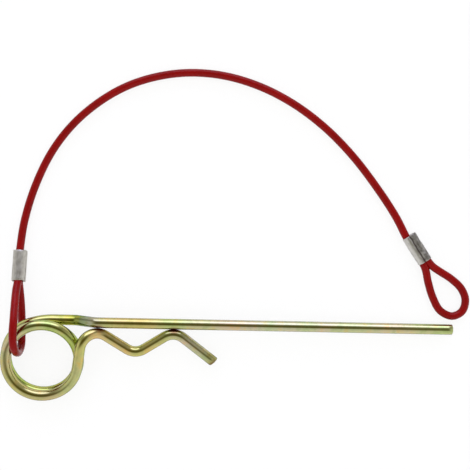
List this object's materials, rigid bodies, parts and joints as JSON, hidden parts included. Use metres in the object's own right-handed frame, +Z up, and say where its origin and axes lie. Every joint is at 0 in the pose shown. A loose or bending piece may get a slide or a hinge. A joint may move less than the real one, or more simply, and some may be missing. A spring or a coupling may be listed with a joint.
{
  "type": "r-clip spring pin with lanyard",
  "caption": "Double-coil R-clip bent from one spring wire, a wavy leg gripping beside a long straight leg, with a coated wire-rope lanyard looped round the coil to keep the pin captive.",
  "frame": {"origin": "middle of the pin's box at the surface it lies on, the lanyard left out", "axes": "+X along the straight leg towards its cut tip, +Y across the pin to the side where the lanyard lies, +Z up from the surface"},
  "size_m": [0.1788, 0.1282, 0.017],
  "materials": {
    "spring_wire": "bright, yellow passivated zinc plating",
    "cord_coating": "dark red, semi-gloss",
    "ferrule_metal": "plain, pressed"
  },
  "bodies": {
    "pin": {"pin": "spring_wire"},
    "lanyard": {"lanyard_cord": "cord_coating", "coil_ferrule": "ferrule_metal", "free_ferrule": "ferrule_metal"}
  },
  "joints": [
    {"name": "lanyard_swing", "type": "hinge", "parent": "pin", "child": "lanyard", "pos_m": [-0.0793, 0.0097, 0.0081], "axis": [1, 0, 0], "range_deg": [-130, 160]}
  ]
}
